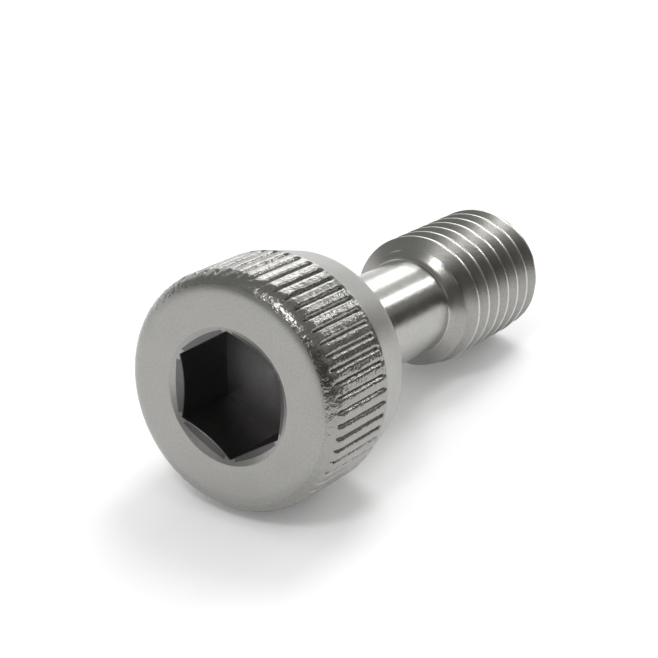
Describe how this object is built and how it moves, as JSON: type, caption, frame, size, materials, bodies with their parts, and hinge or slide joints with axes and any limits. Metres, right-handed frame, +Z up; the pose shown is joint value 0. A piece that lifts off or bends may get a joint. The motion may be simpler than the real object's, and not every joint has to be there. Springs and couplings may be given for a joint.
{
  "type": "captive socket head screw",
  "caption": "Stainless captive screw lying on its side: knurled socket head with a hexagon socket, thin waisted neck and a short coarse thread at the tip.",
  "frame": {"origin": "on the table under the middle of the screw's box as it lies at rest", "axes": "+X runs from the head to the tip, seen from above, +Z is up; the screw's own axis dips about 6.4 degrees toward the tip"},
  "size_m": [0.0288, 0.013, 0.0134],
  "materials": {
    "steel": "satin"
  },
  "bodies": {
    "root": {"captive_screw": "steel"}
  },
  "joints": []
}
